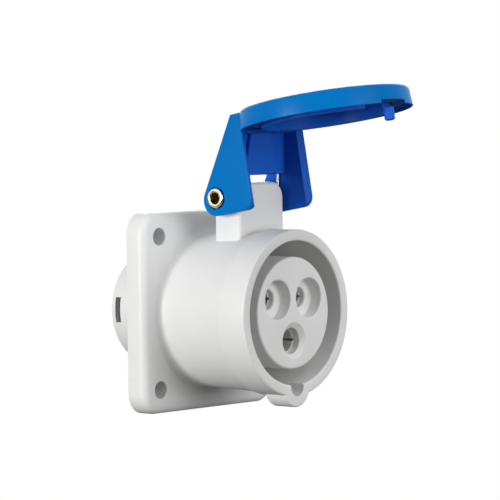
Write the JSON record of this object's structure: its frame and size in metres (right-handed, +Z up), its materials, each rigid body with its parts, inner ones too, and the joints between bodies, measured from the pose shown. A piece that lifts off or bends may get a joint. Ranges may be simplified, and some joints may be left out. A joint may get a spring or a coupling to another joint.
{
  "type": "industrial panel socket",
  "caption": "Industrial panel socket with a square flange, round keyed collar, contact sleeves and a sprung hinged lid, shown open.",
  "frame": {"origin": "on the socket's axis, in the plane where the flange meets the panel, at the centre of the fixing holes", "axes": "+X to the right seen from the front, +Y back through the panel, +Z up towards the hinge"},
  "size_m": [0.063, 0.1007, 0.1023],
  "materials": {
    "grey_moulding": "satin moulded polyamide",
    "carrier_moulding": "fine matt moulding",
    "blue_moulding": "glossy moulding",
    "black_rubber": "matt flat rubber",
    "grey_rubber": "soft seal",
    "zinc_steel": "zinc plated",
    "spring_steel": "drawn wire and strip",
    "bright_brass": "polished",
    "plated_contact": "nickel plated, turned"
  },
  "bodies": {
    "housing": {"socket_housing": "grey_moulding", "flange_gasket": "black_rubber", "contact_carrier": "carrier_moulding", "carrier_screws": "zinc_steel", "terminal_shroud": "grey_moulding", "shroud_screw": "zinc_steel", "terminal_screws": "zinc_steel", "lid_spring": "spring_steel", "line_contact": "plated_contact", "line_contact_spring": "spring_steel", "neutral_contact": "plated_contact", "neutral_contact_spring": "spring_steel", "earth_contact": "plated_contact", "earth_contact_spring": "spring_steel"},
    "lid_unit": {"lid": "blue_moulding", "lid_gasket": "grey_rubber", "hinge_pin": "bright_brass"}
  },
  "joints": [
    {"name": "lid_hinge", "type": "hinge", "parent": "housing", "child": "lid_unit", "pos_m": [0, -0.0229, 0.0359], "axis": [1, 0, 0], "range_deg": [-20, 100], "deforming": ["lid_spring"]}
  ]
}
